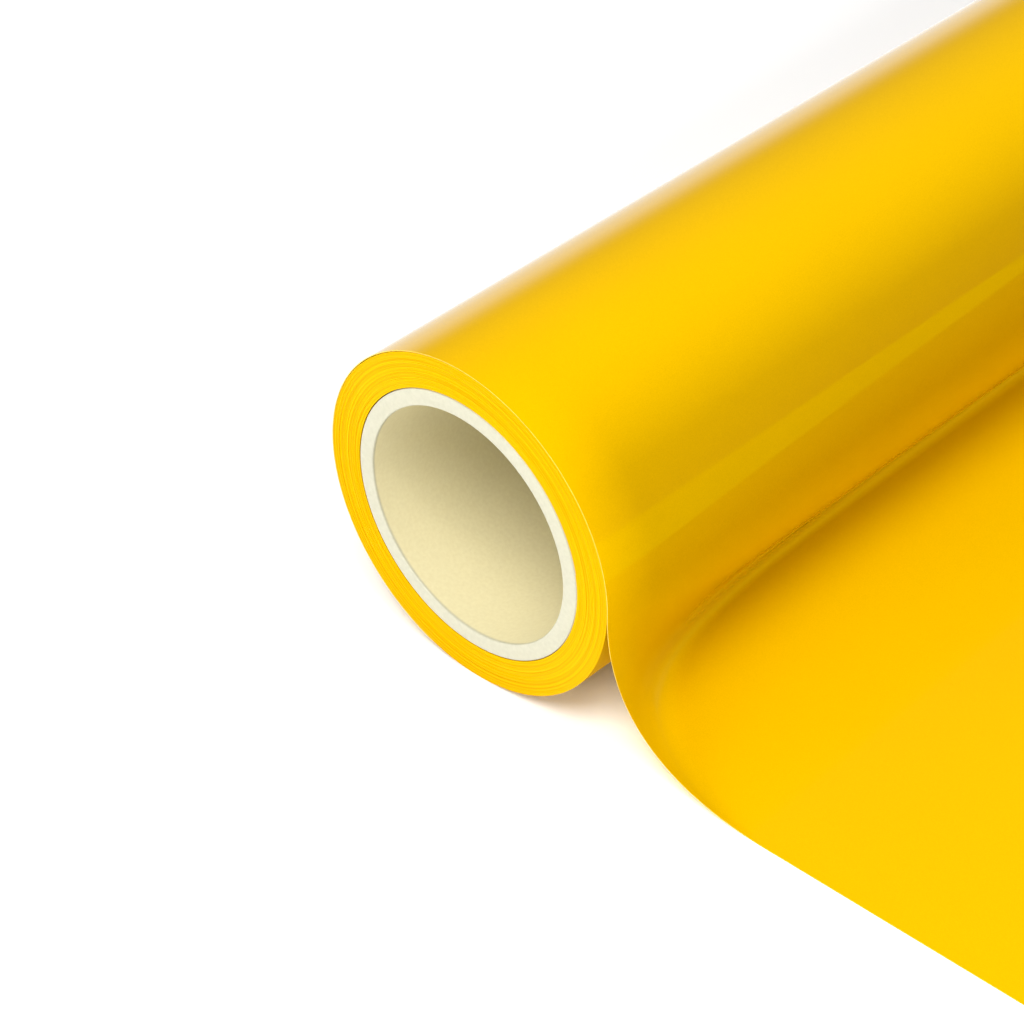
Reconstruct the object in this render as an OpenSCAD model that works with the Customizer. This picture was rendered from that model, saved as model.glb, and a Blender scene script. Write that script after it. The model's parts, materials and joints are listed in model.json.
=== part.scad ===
// Roll of sign vinyl with its free end unrolled.
//
// The web is a vinyl film with a pressure-sensitive adhesive on a paper release liner, wound film side out
// on a plastic core. Its outermost turn comes over the top of the roll, leaves it on the +X side and lies
// flat on the surface that the roll rests on.
//
// Frame: +Y along the core, +Z up, origin on the core's axis, halfway along it.

/* [Web] */
// Width of the web along the core
web_w = 610; // [200:5:1370]
// Thickness of the vinyl film
film_t = 0.08; // [0.05:0.01:0.1]
// Thickness of the adhesive
adhesive_t = 0.02; // [0.02:0.01:0.05]
// Thickness of the release liner
liner_t = 0.14; // [0.08:0.01:0.2]

/* [Roll] */
// Diameter over the turns that lie under the outermost one
wound_d = 110; // [96:1:160]

/* [Core] */
// Bore of the core, 3 inches
core_bore_d = 76.2; // [74:0.1:77.5]
// Wall thickness of the core
core_wall = 5.4; // [3:0.1:7]
// Chamfer on the end edges of the core
core_chamfer = 0.5; // [0.2:0.1:1]

/* [Starter tape] */
// Width of the tape that holds the first turn, around the core
tape_w = 25; // [12:1:50]
// Thickness of the tape
tape_t = 0.1; // [0.05:0.01:0.2]

/* [Free end] */
// Angle at which the outermost turn starts, from +X round over the top
turn_start = 250; // [190:1:255]
// Angle below +X at which the web leaves the roll
leave_angle = 12; // [0:1:30]
// Distance from the roll's axis to the cut end of the web
cut_end_x = 500; // [200:5:900]

/* [Hidden] */
// Running clearance between the wound turns and the outermost one
turn_gap = 0.3;
// Angle of each facet where a thin layer bends
fold_angle = 3;
bore_r = core_bore_d / 2;
core_r = bore_r + core_wall;
wound_r = wound_d / 2;
turn_r = wound_r + turn_gap;
floor_z = -wound_r;
// The sweep is the arc that carries the web from the roll to the floor, tangent to both
sweep_r = (wound_r - turn_r * sin(leave_angle)) / (1 + sin(leave_angle));
sweep_x = (turn_r + sweep_r) * cos(leave_angle);
sweep_z = floor_z + sweep_r;
tape_angle = tape_w / core_r * 180 / PI;
$fn = 180;

// Turns a shape drawn along +Z into one along the core
module along_core() {
    rotate([90, 0, 0]) children();
}

// Points of an arc about (x, z) from angle a0 to angle a1, from the point numbered first
function arc(x, z, r, a0, a1, first = 0) =
    let (steps = ceil(abs(a1 - a0) / fold_angle))
    [for (i = [first:steps]) let (a = a0 + (a1 - a0) * i / steps) [x + r * cos(a), z + r * sin(a)]];

function reversed(list) = [for (i = [len(list) - 1:-1:0]) list[i]];

// Outline of the free web at a height above the back of its liner: outermost turn, sweep, flat end
function web_line(height) = concat(
    arc(0, 0, turn_r + height, turn_start, -leave_angle),
    arc(sweep_x, sweep_z, sweep_r - height, 180 - leave_angle, 270, first = 1),
    [[cut_end_x, floor_z + height]]
);

// A layer as wide as the web, between two lines of points
module layer(inner_line, outer_line) {
    along_core()
        linear_extrude(web_w, center = true)
            polygon(concat(inner_line, reversed(outer_line)));
}

// Plastic core with chamfered ends
module core_tube() {
    end = web_w / 2;
    c = core_chamfer;
    color("#F6F0DC")
        along_core()
            rotate_extrude()
                polygon([
                    [bore_r, -end + c], [bore_r + c, -end], [core_r - c, -end], [core_r, -end + c],
                    [core_r, end - c], [core_r - c, end], [bore_r + c, end], [bore_r, end - c]
                ]);
}

// Tape along the core, under the first turn
module starter_tape() {
    half = tape_angle / 2;
    facet_clear_r = core_r / cos(fold_angle / 2);
    color("#D8D2C0")
        layer(arc(0, 0, facet_clear_r, -half, half), arc(0, 0, core_r + tape_t, -half, half));
}

// The wound turns, tight on the tape
module wound_web() {
    color("#F5BE00")
        along_core()
            difference() {
                cylinder(h = web_w, r = wound_r, center = true);
                cylinder(h = web_w + 2, r = core_r + tape_t, center = true);
            }
}

module free_liner() {
    color("#F2F0E8") layer(web_line(0), web_line(liner_t));
}

module free_adhesive() {
    color("#F4E9B0") layer(web_line(liner_t), web_line(liner_t + adhesive_t));
}

module free_film() {
    color("#FFC800") layer(web_line(liner_t + adhesive_t), web_line(liner_t + adhesive_t + film_t));
}

core_tube();
starter_tape();
wound_web();
free_liner();
free_adhesive();
free_film();
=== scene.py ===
"""Roll of sign vinyl with its free end unrolled: the looks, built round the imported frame.

Metres, +Y along the core, +Z up, the near end of the roll at the lowest Y, as the frame has it.
"""

import json
import math

import bpy
import numpy as np
from mathutils import Matrix, Vector


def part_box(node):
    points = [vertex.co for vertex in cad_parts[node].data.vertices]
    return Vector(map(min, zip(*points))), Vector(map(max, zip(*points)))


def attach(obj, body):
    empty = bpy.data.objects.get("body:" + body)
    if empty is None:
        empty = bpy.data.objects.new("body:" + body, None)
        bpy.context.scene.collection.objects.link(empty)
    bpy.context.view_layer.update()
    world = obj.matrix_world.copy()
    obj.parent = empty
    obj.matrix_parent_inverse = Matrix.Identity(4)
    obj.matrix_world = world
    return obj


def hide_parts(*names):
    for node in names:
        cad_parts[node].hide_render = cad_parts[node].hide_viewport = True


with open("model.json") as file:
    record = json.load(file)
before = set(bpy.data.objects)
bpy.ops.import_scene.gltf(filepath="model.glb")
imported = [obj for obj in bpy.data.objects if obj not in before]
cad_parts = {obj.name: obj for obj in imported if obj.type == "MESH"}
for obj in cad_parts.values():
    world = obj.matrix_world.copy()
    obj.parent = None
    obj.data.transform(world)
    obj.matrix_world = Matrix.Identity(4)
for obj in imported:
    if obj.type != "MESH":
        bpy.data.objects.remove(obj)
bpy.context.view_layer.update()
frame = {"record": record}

# ---------------------------------------------------------------- sizes, from the frame
MM = 0.001
bore_mount = next(m for m in frame["record"]["mounts"] if m["name"] == "core_bore")
bore_r = bore_mount["dims"]["r_mm"] * MM
core_lo, core_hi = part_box("core_tube")
tape_lo, tape_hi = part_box("starter_tape")
wound_lo, wound_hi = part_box("wound_web")
liner_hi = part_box("free_liner")[1]
glue_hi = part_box("free_adhesive")[1]
film_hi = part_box("free_film")[1]

near_y, far_y = core_lo.y, core_hi.y
core_r = core_hi.z
wound_r = wound_hi.z
floor_z = wound_lo.z
cut_x = liner_hi.x
tape_t = tape_hi.x - core_r

# The layers of the web
LINER_T = 0.14 * MM
SKIN = 0.002 * MM                 # keeps the faces of bonded layers from lying in one plane
glue_t = glue_hi.z - liner_hi.z
film_t = film_hi.z - glue_hi.z
web_t = LINER_T + glue_t + film_t

# ---------------------------------------------------------------- the web's own shape
TURN_START = math.radians(250)    # where the outermost turn begins, from +X round over the top
TURN_SLACK = 0.05 * MM            # between the wound turns and the outermost one
# How the web leaves the roll: its value at the near edge, its value where it has settled, and how far
# along the roll it takes to settle
SWEEP = {
    "leave": (4, 49.5, 68 * MM),                      # angle below +X at which it leaves, in degrees
    "reach": (112 * MM, 31.5 * MM, 24 * MM),          # distance from the axis where it meets the floor
    "pull": (30.7 * MM, 16 * MM, 88 * MM),            # how far it runs on straight as it leaves
    "lead": (41.4 * MM, 4 * MM, 28 * MM),             # how far it runs in flat as it arrives
}
# Points along the web: round its outermost turn, down the sweep and over the flat
TURN_POINTS, SWEEP_POINTS, FLAT_POINTS = 150, 49, 21
# Places along the roll at which the web's line is drawn, closer together towards the near end
STATIONS = 110
STATION_SPREAD = 0.25             # 1 would space them evenly

turn_r = wound_r + TURN_SLACK
first_r = core_r + tape_t
wound_turns = (wound_r - web_t - first_r) / web_t
WOUND_STEPS = 160                 # points a turn
# How far each turn stands out of line with the last, slowly and quickly: reach, and rate a turn
WANDER = ((0.10 * MM, 1.3), (0.05 * MM, 6.1))
LINER_SET_BACK = 0.03 * MM        # of the liner's edges behind the film's

# The core and its tape
CORE_EDGE = 0.5 * MM              # radius of the round on its edges
CORE_STEPS = 288                  # round the axis
BORE_RINGS = 12                   # lengths that the bore's wall is divided into
TAPE_STEPS = (24, 12)             # round the core and along it
TAPE_SET_BACK = 0.3 * MM          # of the tape's ends behind the core's
TAPE_SKIN = 0.005 * MM            # between the tape's faces and its neighbours'

# ---------------------------------------------------------------- light
ROOM_LIGHT = (0.16, 0.70)         # the white room, on the free end's side and on the far side
CURTAIN_LIGHT = 0.15              # what the film mirrors of it, behind black curtains
GLOW_LIGHT = 1.2                  # what the film mirrors low down on the far side, where no curtain hangs
# Where each of them begins and ends, as the X or Z part of the direction looked in
ROOM_SPAN = (0.5, -0.7)
GLOW_SPAN_X = (-0.6, -0.2)
GLOW_SPAN_Z = (-0.1, 0.4)
RIGHT_PLACE = (1.9, 0.1, 1.0)
SOFTBOXES = (  # name, place, what it points at, side of its square, watts, whether the film mirrors it
    ("key", (0.5, -1.1, 1.6), (0.05, -0.2, 0.0), 0.9, 31, True),
    ("right", RIGHT_PLACE, (0.05, -0.1, 0.0), 0.75, 46, False),
    ("front", (0.15, -2.0, 0.4), (0.0, -0.3, 0.0), 0.9, 25, False),
)
# A flag, which is a board that keeps the right light off a band of the roll's side: how far from the
# axis the rays that it stops would pass, as shares of the roll's radius, how far it stands off, and how
# far along the roll it begins and ends, from the near end and from the far one
FLAG_STOPS = (0.46, -0.87)
FLAG_AWAY = 165 * MM
FLAG_ENDS = (20 * MM, 100 * MM)
# A reflector card over the free end, which the film mirrors as a pale wedge along the roll: its corners
# as x and the distance from the near end
CARD = [(0.125, -0.06), (0.15, 0.10), (0.35, 0.64), (0.66, 1.01), (0.66, 0.25)]
CARD_HEIGHT = 5 * MM
CARD_LIGHT = (1.5, 1.55, 0.0, 1)
BLACK = (0, 0, 0, 1)

FLOOR_HALF = 6.0                  # from its middle to its sides
FLOOR_DROP = 0.03 * MM            # below the back of the liner

# ---------------------------------------------------------------- camera
# Where it stands as seen from the middle of the view: degrees round from -Y towards +X, degrees up, and
# how many of the roll's radii away; how far it leans to its left, in degrees
CAMERA_AZIMUTH, CAMERA_ELEVATION, CAMERA_DISTANCE = 47.06, 36.86, 14.09
CAMERA_TILT = -4.04
CAMERA_MIDDLE = (0.2411, 0.0773)  # of the view, right of the end face's centre and above it, in radii
CAMERA_LENS, CAMERA_SENSOR = 96.7, 36


# ---------------------------------------------------------------- mesh helpers
def make_object(name, points, faces, material):
    mesh = bpy.data.meshes.new(name)
    mesh.from_pydata(points, [], faces)
    mesh.update()
    mesh.polygons.foreach_set("use_smooth", [True] * len(mesh.polygons))
    mesh.set_sharp_from_angle(angle=math.radians(35))
    mesh.materials.append(material)
    obj = bpy.data.objects.new(name, mesh)
    bpy.context.scene.collection.objects.link(obj)
    return obj


def shell(name, inner, outer, material):
    """A closed sheet between two grids of points, each (along the web, across the web, xyz)."""
    along, across = inner.shape[:2]
    points = np.concatenate([inner.reshape(-1, 3), outer.reshape(-1, 3)]).tolist()

    def a(u, v):
        return u * across + v

    def b(u, v):
        return along * across + u * across + v

    faces = []
    for u in range(along - 1):
        for v in range(across - 1):
            faces.append((b(u, v), b(u + 1, v), b(u + 1, v + 1), b(u, v + 1)))
            faces.append((a(u, v), a(u, v + 1), a(u + 1, v + 1), a(u + 1, v)))
        last = across - 1
        faces.append((a(u, 0), a(u + 1, 0), b(u + 1, 0), b(u, 0)))
        faces.append((a(u, last), b(u, last), b(u + 1, last), a(u + 1, last)))
    for v in range(across - 1):
        end = along - 1
        faces.append((a(0, v), b(0, v), b(0, v + 1), a(0, v + 1)))
        faces.append((a(end, v), a(end, v + 1), b(end, v + 1), b(end, v)))
    return make_object(name, points, faces, material)


def turned(name, outline, steps, material):
    """A ring round the Y axis from a closed outline of (radius, y) points."""
    count = len(outline)
    points = []
    for i in range(steps):
        angle = 2 * math.pi * i / steps
        points += [(r * math.cos(angle), y, r * math.sin(angle)) for r, y in outline]
    faces = []
    for i in range(steps):
        j = (i + 1) % steps
        for k in range(count):
            m = (k + 1) % count
            faces.append((i * count + k, i * count + m, j * count + m, j * count + k))
    return make_object(name, points, faces, material)


def mix(a, b, share):
    return a + (b - a) * share


# ---------------------------------------------------------------- materials
class Paint:
    """A Principled material, and short ways to add nodes to it."""

    def __init__(self, name, **values):
        self.material = bpy.data.materials.new(name)
        self.material.use_nodes = True
        self.tree = self.material.node_tree
        self.shader = next(n for n in self.tree.nodes if n.type == "BSDF_PRINCIPLED")
        for key, value in values.items():
            self.shader.inputs[key.replace("_", " ")].default_value = value

    def node(self, kind, **values):
        made = self.tree.nodes.new(kind)
        for key, value in values.items():
            if key in made.inputs:
                made.inputs[key].default_value = value
            else:
                setattr(made, key, value)
        return made

    def link(self, a, b):
        self.tree.links.new(a, b)

    def place(self):
        return self.node("ShaderNodeTexCoord").outputs["Object"]

    def parts(self, at):
        """The X, Y and Z of a place."""
        made = self.node("ShaderNodeSeparateXYZ")
        self.link(at, made.inputs["Vector"])
        return made.outputs

    def noise(self, at, scale, detail=2.0):
        made = self.node("ShaderNodeTexNoise", Scale=scale, Detail=detail)
        self.link(at, made.inputs["Vector"])
        return made.outputs["Fac"]

    def tones(self, fac, dark, light, low=0.3, high=0.7):
        """A colour that goes from dark to light as fac goes from low to high."""
        made = self.node("ShaderNodeValToRGB")
        self.link(fac, made.inputs["Fac"])
        for element, at, tone in zip(made.color_ramp.elements, (low, high), (dark, light)):
            element.position = at
            element.color = (*tone, 1)
        return made.outputs["Color"]

    def blend(self, kind, factor, a, b):
        made = self.node("ShaderNodeMix", data_type="RGBA", blend_type=kind)
        if factor is None:
            made.inputs["Factor"].default_value = 1
        else:
            self.link(factor, made.inputs["Factor"])
        self.link(a, made.inputs[6])
        self.link(b, made.inputs[7])
        return made.outputs[2]

    def colour(self, source):
        self.link(source, self.shader.inputs["Base Color"])

    def bump(self, height, strength, distance):
        made = self.node("ShaderNodeBump", Strength=strength, Distance=distance)
        self.link(height, made.inputs["Height"])
        self.link(made.outputs["Normal"], self.shader.inputs["Normal"])


def film_paint():
    """Gloss vinyl, slightly uneven in tone, with a fine grain. It mirrors in gold."""
    paint = Paint("vinyl_film", Roughness=0.03, IOR=1.5, Specular_IOR_Level=0.4,
                  Specular_Tint=(1, 0.85, 0, 1))
    at = paint.place()
    cloudy = paint.tones(paint.noise(at, 9.0, 3.0), (0.615, 0.350, 0.0), (0.630, 0.362, 0.0))
    grain = paint.tones(paint.noise(at, 2600.0, 1.0), (0.95, 0.95, 0.95), (1.04, 1.04, 1.04), 0.25, 0.75)
    paint.colour(paint.blend("MULTIPLY", None, cloudy, grain))
    return paint.material


def edge_paint(name, dark, light):
    """The cut edges of wound layers: rings of slightly different tone, round the core's axis, partly tone
    that differs from turn to turn and partly painted shade of turns that stand a little out of line.
    """
    paint = Paint(name, Roughness=0.6, Specular_IOR_Level=0.04, Specular_Tint=(1, 0.7, 0, 1))
    parts = paint.parts(paint.place())
    flat = paint.node("ShaderNodeCombineXYZ")
    paint.link(parts["X"], flat.inputs["X"])
    paint.link(parts["Z"], flat.inputs["Y"])
    radius = paint.node("ShaderNodeVectorMath", operation="LENGTH")
    paint.link(flat.outputs["Vector"], radius.inputs[0])
    # these rings are partly tone that differs from turn to turn and partly painted shade of turns standing
    # out of line
    rings = paint.node("ShaderNodeTexNoise", noise_dimensions="1D", Scale=1400.0, Detail=3.0)
    paint.link(radius.outputs["Value"], rings.inputs["W"])
    paint.colour(paint.tones(rings.outputs["Fac"], dark, light, 0.32, 0.62))
    return paint.material


def liner_paint():
    """Paper, tinted by the film that it lies under."""
    paint = Paint("release_liner", Roughness=0.5)
    fibres = paint.noise(paint.place(), 700.0, 4.0)
    paint.colour(paint.tones(fibres, (0.74, 0.50, 0.06), (0.80, 0.56, 0.09)))
    paint.bump(fibres, 0.15, 0.02 * MM)
    return paint.material


def glue_paint():
    paint = Paint("adhesive", Roughness=0.25)
    paint.colour(paint.tones(paint.noise(paint.place(), 400.0), (0.80, 0.60, 0.12), (0.85, 0.66, 0.18)))
    return paint.material


def core_paint():
    """Ivory plastic. Its ends have a darker copy of the walls' colour: painted shade that holds down the
    strong front light falling full on the end faces.
    """
    paint = Paint("core_plastic", Roughness=0.38, IOR=1.5)
    at = paint.place()
    grain = paint.noise(at, 900.0, 3.0)
    wall = paint.tones(grain, (0.66, 0.590, 0.350), (0.70, 0.635, 0.39))
    # painted shade: a darker copy of the walls' colour for the ends, which the front light falls full on
    painted_end_shade = paint.tones(grain, (0.41, 0.395, 0.295), (0.45, 0.435, 0.330))
    along = paint.node("ShaderNodeMath", operation="ABSOLUTE")
    paint.link(paint.parts(at)["Y"], along.inputs[0])
    at_end = paint.node("ShaderNodeMapRange")
    paint.link(along.outputs["Value"], at_end.inputs["Value"])
    at_end.inputs["From Min"].default_value = far_y - 1.2 * MM
    at_end.inputs["From Max"].default_value = far_y - 0.4 * MM
    paint.colour(paint.blend("MIX", at_end.outputs["Result"], wall, painted_end_shade))
    paint.bump(grain, 0.12, 0.03 * MM)
    return paint.material


def tape_paint():
    paint = Paint("starter_tape", Roughness=0.55)
    crepe = paint.noise(paint.place(), 1200.0, 3.0)
    paint.colour(paint.tones(crepe, (0.60, 0.52, 0.34), (0.70, 0.62, 0.42)))
    paint.bump(crepe, 0.3, 0.03 * MM)
    return paint.material


def floor_paint():
    paint = Paint("floor", Roughness=1.0, Specular_IOR_Level=0.0)
    paint.colour(paint.tones(paint.noise(paint.place(), 2.0), (0.92, 0.92, 0.92), (0.94, 0.94, 0.94)))
    return paint.material


# ---------------------------------------------------------------- the core and the starter tape
def rounded(corner, way_in, way_out, radius, steps=5):
    """Points of a small round at a right-angled corner, entered along way_in and left along way_out."""
    cx = corner[0] - way_in[0] * radius + way_out[0] * radius
    cy = corner[1] - way_in[1] * radius + way_out[1] * radius
    points = []
    for i in range(steps + 1):
        angle = math.pi / 2 * i / steps
        points.append((cx - way_out[0] * radius * math.cos(angle) + way_in[0] * radius * math.sin(angle),
                       cy - way_out[1] * radius * math.cos(angle) + way_in[1] * radius * math.sin(angle)))
    return points


def make_core():
    corners = [
        ((bore_r, near_y), (0, -1), (1, 0)),
        ((core_r, near_y), (1, 0), (0, 1)),
        ((core_r, far_y), (0, 1), (-1, 0)),
        ((bore_r, far_y), (-1, 0), (0, -1)),
    ]
    outline = []
    for corner, way_in, way_out in corners:
        outline += rounded(corner, way_in, way_out, CORE_EDGE)
    # rings along the bore, so that its long wall isn't one face
    between = [mix(near_y, far_y, i / BORE_RINGS) for i in range(1, BORE_RINGS)]
    outline += [(bore_r, y) for y in reversed(between)]
    return turned("core", outline, CORE_STEPS, core_paint())


def make_tape():
    half = math.atan2(tape_hi.z, tape_lo.x)
    angles = np.linspace(half, -half, TAPE_STEPS[0])
    ys = np.linspace(near_y + TAPE_SET_BACK, far_y - TAPE_SET_BACK, TAPE_STEPS[1])
    grids = []
    for radius in (core_r + TAPE_SKIN, core_r + tape_t - TAPE_SKIN):
        grid = np.zeros((len(angles), len(ys), 3))
        grid[..., 0] = radius * np.cos(angles)[:, None]
        grid[..., 1] = ys[None, :]
        grid[..., 2] = radius * np.sin(angles)[:, None]
        grids.append(grid)
    return shell("core_tape", grids[0], grids[1], tape_paint())


# ---------------------------------------------------------------- the wound turns
def wave(t, seed):
    """A smooth wander between about -1 and 1, from sines that share no period."""
    return (math.sin(t * 1.0 + seed) + math.sin(t * 2.31 + 1.7 * seed) + math.sin(t * 5.77 + 2.9 * seed)) / 3


def make_wound(name, low, high, set_back, seed, material):
    """One layer of the wound web as a true spiral, between two heights above the back of its liner."""
    steps = round(wound_turns * WOUND_STEPS)
    along = np.linspace(0, wound_turns, steps + 1)
    angle = TURN_START + 2 * math.pi * (wound_turns - along)
    radius = first_r + web_t * along
    (slow, slow_rate), (quick, quick_rate) = WANDER
    wander = np.array([slow * wave(t * slow_rate, seed) + quick * wave(t * quick_rate, seed + 2)
                       for t in along])
    inner, outer = np.zeros((steps + 1, 2, 3)), np.zeros((steps + 1, 2, 3))
    for grid, height in ((inner, low), (outer, high)):
        grid[..., 0] = ((radius + height) * np.cos(angle))[:, None]
        grid[..., 2] = ((radius + height) * np.sin(angle))[:, None]
        grid[:, 0, 1] = near_y + set_back + wander
        grid[:, 1, 1] = far_y - set_back + wander
    return shell(name, inner, outer, material)


# ---------------------------------------------------------------- the free web
def sweep_at(y):
    """How the web leaves the roll at that place along it."""
    return {key: mix(settled, near, math.exp((near_y - y) / over))
            for key, (near, settled, over) in SWEEP.items()}


def web_line(y):
    """The back of the liner at that place along the roll: its outermost turn, the sweep and the flat end."""
    sweep = sweep_at(y)
    leave = math.radians(sweep["leave"])
    turn = np.linspace(TURN_START, -leave, TURN_POINTS)
    over = np.stack([turn_r * np.cos(turn), turn_r * np.sin(turn)], 1)
    start = over[-1]
    way = np.array([-math.sin(leave), -math.cos(leave)])
    touch = np.array([sweep["reach"], floor_z])
    controls = [start, start + way * sweep["pull"], touch - np.array([sweep["lead"], 0]), touch]
    t = np.linspace(0, 1, SWEEP_POINTS)[1:, None]
    curve = ((1 - t) ** 3 * controls[0] + 3 * (1 - t) ** 2 * t * controls[1]
             + 3 * (1 - t) * t ** 2 * controls[2] + t ** 3 * controls[3])
    flat_x = np.linspace(sweep["reach"], cut_x, FLAT_POINTS)[1:]
    flat = np.stack([flat_x, np.full(len(flat_x), floor_z)], 1)
    return np.concatenate([over, curve, flat])


def web_grids(heights):
    """Grids of the web at each height above the back of its liner."""
    share = np.linspace(0, 1, STATIONS)
    stations = near_y + (far_y - near_y) * (STATION_SPREAD * share + (1 - STATION_SPREAD) * share ** 3)
    lines = [web_line(y) for y in stations]
    grids = [np.zeros((len(lines[0]), len(stations), 3)) for _ in heights]
    for v, (y, line) in enumerate(zip(stations, lines)):
        tangent = np.gradient(line, axis=0)
        tangent /= np.linalg.norm(tangent, axis=1)[:, None]
        outward = np.stack([-tangent[:, 1], tangent[:, 0]], 1)
        for grid, height in zip(grids, heights):
            moved = line + outward * height
            grid[:, v, 0] = moved[:, 0]
            grid[:, v, 1] = y
            grid[:, v, 2] = moved[:, 1]
    return grids


# ---------------------------------------------------------------- stage, light and camera
def make_floor():
    z = floor_z - FLOOR_DROP
    points = [(-FLOOR_HALF, -FLOOR_HALF, z), (FLOOR_HALF, -FLOOR_HALF, z),
              (FLOOR_HALF, FLOOR_HALF, z), (-FLOOR_HALF, FLOOR_HALF, z)]
    floor = make_object("floor", points, [(0, 1, 2, 3)], floor_paint())
    floor.visible_glossy = False


def make_world():
    """A white room. Mirror rays see black curtains, and a glow low down on the roll's far side."""
    world = bpy.data.worlds.new("studio")
    world.use_nodes = True
    tree = world.node_tree

    def node(kind, **values):
        made = tree.nodes.new(kind)
        for key, value in values.items():
            setattr(made, key, value)
        return made

    def mapped(source, low, high, to_low, to_high):
        made = node("ShaderNodeMapRange", interpolation_type="SMOOTHSTEP")
        tree.links.new(source, made.inputs["Value"])
        for name, value in (("From Min", low), ("From Max", high), ("To Min", to_low), ("To Max", to_high)):
            made.inputs[name].default_value = value
        return made.outputs["Result"]

    room = tree.nodes["Background"]
    room.inputs["Color"].default_value = (1, 1, 1, 1)
    way = node("ShaderNodeSeparateXYZ")
    tree.links.new(node("ShaderNodeTexCoord").outputs["Generated"], way.inputs["Vector"])
    tree.links.new(mapped(way.outputs["X"], *ROOM_SPAN, *ROOM_LIGHT), room.inputs["Strength"])
    glow = node("ShaderNodeMath", operation="MULTIPLY")
    tree.links.new(mapped(way.outputs["X"], *GLOW_SPAN_X, 1, 0), glow.inputs[0])
    tree.links.new(mapped(way.outputs["Z"], *GLOW_SPAN_Z, 1, 0), glow.inputs[1])
    mirrored = node("ShaderNodeBackground")
    mirrored.inputs["Color"].default_value = (1, 1, 1, 1)
    strength = mapped(glow.outputs["Value"], 0, 1, CURTAIN_LIGHT, GLOW_LIGHT)
    tree.links.new(strength, mirrored.inputs["Strength"])
    rays = node("ShaderNodeLightPath")
    blend = node("ShaderNodeMixShader")
    tree.links.new(rays.outputs["Is Glossy Ray"], blend.inputs["Fac"])
    tree.links.new(room.outputs["Background"], blend.inputs[1])
    tree.links.new(mirrored.outputs["Background"], blend.inputs[2])
    tree.links.new(blend.outputs["Shader"], tree.nodes["World Output"].inputs["Surface"])
    bpy.context.scene.world = world


def make_card():
    """The card shines up only, so that the sheet under it doesn't mirror it."""
    paint = Paint("card", Base_Color=BLACK, Emission_Color=CARD_LIGHT, Emission_Strength=1)
    clear = paint.node("ShaderNodeBsdfTransparent")
    side = paint.node("ShaderNodeMixShader")
    paint.link(paint.node("ShaderNodeNewGeometry").outputs["Backfacing"], side.inputs["Fac"])
    paint.link(paint.shader.outputs["BSDF"], side.inputs[1])
    paint.link(clear.outputs["BSDF"], side.inputs[2])
    paint.link(side.outputs["Shader"], paint.tree.nodes["Material Output"].inputs["Surface"])
    corners = [(x, near_y + y, floor_z + CARD_HEIGHT) for x, y in reversed(CARD)]
    card = make_object("card", corners, [range(len(CARD))], paint.material)
    card.visible_camera = card.visible_diffuse = card.visible_shadow = False


def make_flag():
    away = math.hypot(RIGHT_PLACE[0], RIGHT_PLACE[2])
    to_light = Vector((RIGHT_PLACE[0] / away, 0, RIGHT_PLACE[2] / away))
    across = Vector((-to_light.z, 0, to_light.x))
    high, low = (to_light * FLAG_AWAY + across * stop * wound_r for stop in FLAG_STOPS)
    near, far = near_y + FLAG_ENDS[0], far_y + FLAG_ENDS[1]
    corners = [(high.x, near, high.z), (low.x, near, low.z), (low.x, far, low.z), (high.x, far, high.z)]
    flag = make_object("flag", corners, [(0, 1, 2, 3)], Paint("flag", Base_Color=BLACK).material)
    flag.visible_camera = flag.visible_diffuse = flag.visible_glossy = False
    # the other lights pass it by
    passed_by = bpy.data.collections.new("passed_by")
    passed_by.objects.link(flag)
    passed_by.collection_objects[0].light_linking.link_state = "EXCLUDE"
    for name in ("key", "front"):
        bpy.data.objects[name].light_linking.blocker_collection = passed_by


def make_lights():
    scene = bpy.context.scene
    scene.view_settings.view_transform = "Standard"
    for name, place, aim, size, power, mirrored in SOFTBOXES:
        light = bpy.data.lights.new(name, "AREA")
        light.shape = "SQUARE"
        light.size = size
        light.energy = power
        obj = bpy.data.objects.new(name, light)
        obj.location = place
        obj.visible_glossy = mirrored
        obj.rotation_euler = (Vector(aim) - Vector(place)).to_track_quat("-Z", "Y").to_euler()
        scene.collection.objects.link(obj)


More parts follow.
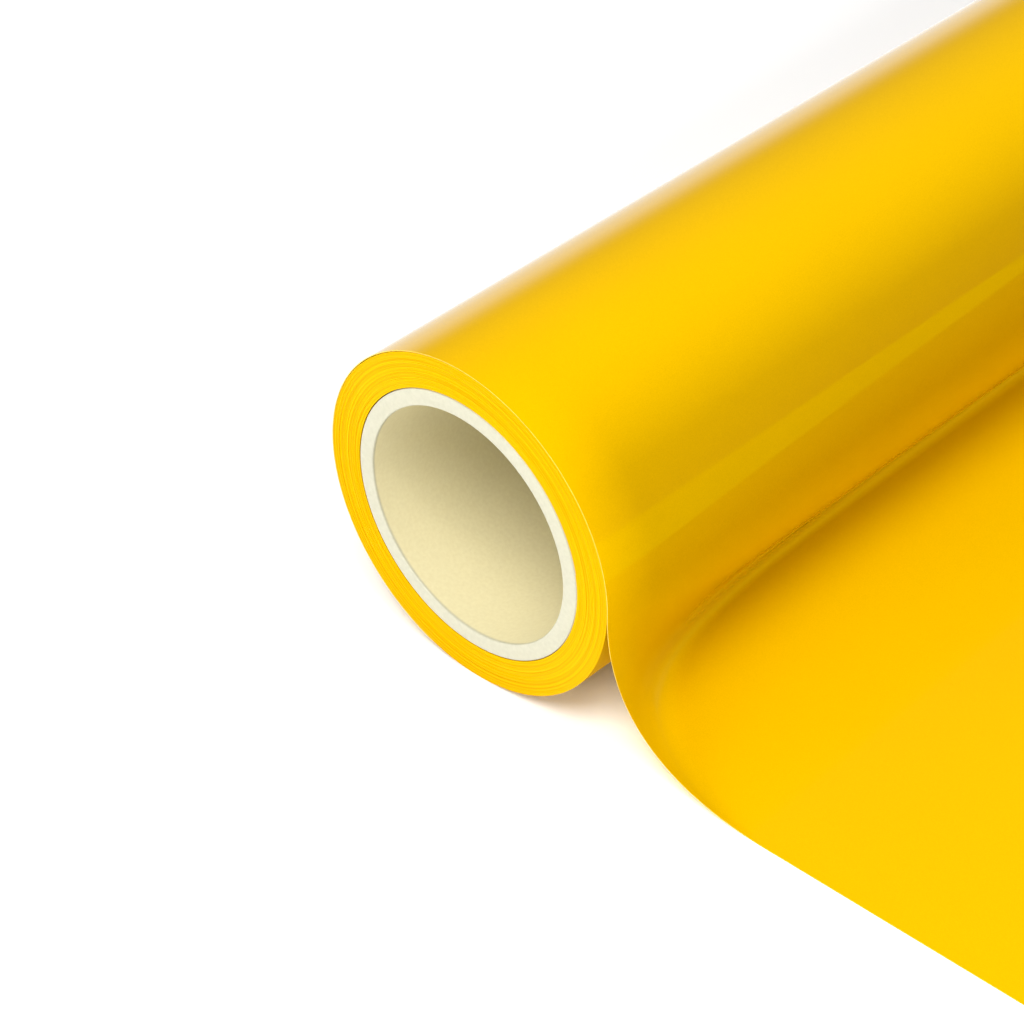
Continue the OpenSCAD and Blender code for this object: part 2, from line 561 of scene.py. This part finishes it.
def make_camera():
    """Looks down on the near end of the roll from its front right."""
    azimuth, elevation, tilt = (math.radians(a) for a in (CAMERA_AZIMUTH, CAMERA_ELEVATION, CAMERA_TILT))
    roll_r = turn_r + web_t
    back = Vector((math.sin(azimuth) * math.cos(elevation),
                   -math.cos(azimuth) * math.cos(elevation), math.sin(elevation)))
    level_right = Vector((math.cos(azimuth), math.sin(azimuth), 0))
    level_up = back.cross(level_right)
    right = level_right * math.cos(tilt) + level_up * math.sin(tilt)
    up = level_up * math.cos(tilt) - level_right * math.sin(tilt)
    middle = Vector((0, near_y, 0)) + right * CAMERA_MIDDLE[0] * roll_r + up * CAMERA_MIDDLE[1] * roll_r
    data = bpy.data.cameras.new("camera")
    data.sensor_width = CAMERA_SENSOR
    data.lens = CAMERA_LENS
    data.clip_start, data.clip_end = 0.05, 50
    camera = bpy.data.objects.new("camera", data)
    camera.matrix_world = Matrix.Translation(middle + back * CAMERA_DISTANCE * roll_r) @ Matrix(
        (right, up, back)).transposed().to_4x4()
    bpy.context.scene.collection.objects.link(camera)
    bpy.context.scene.camera = camera


# ---------------------------------------------------------------- the object
make_camera()
make_floor()
make_world()
make_lights()
make_card()
make_flag()

core = make_core()
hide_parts("core_tube")
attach(core, "roll")

tape = make_tape()
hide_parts("starter_tape")
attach(tape, "roll")

film_edges = edge_paint("film_edges", (0.57, 0.315, 0.0), (0.66, 0.400, 0.0))
liner_edges = edge_paint("liner_edges", (0.53, 0.275, 0.0), (0.62, 0.360, 0.0))
for name, low, high, set_back, seed, material in (
    ("wound_liner", 0, LINER_T - SKIN, LINER_SET_BACK, 0.4, liner_edges),
    ("wound_film", LINER_T, web_t - SKIN, 0.0, 0.9, film_edges),
):
    piece = make_wound(name, low, high, set_back, seed, material)
    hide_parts("wound_web")
    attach(piece, "roll")

heights = [0, LINER_T - SKIN, LINER_T, LINER_T + glue_t - SKIN, LINER_T + glue_t, web_t]
grids = web_grids(heights)
for name, node, slot, low, material, rests_on in (
    ("liner", "free_liner", "release_liner", 0, liner_paint(), ["wound_film", "floor"]),
    ("adhesive", "free_adhesive", "adhesive", 2, glue_paint(), ["liner"]),
    ("film", "free_film", "vinyl_film", 4, film_paint(), ["adhesive"]),
):
    piece = shell(name, grids[low], grids[low + 1], material)
    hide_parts(node)
    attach(piece, "free_web")
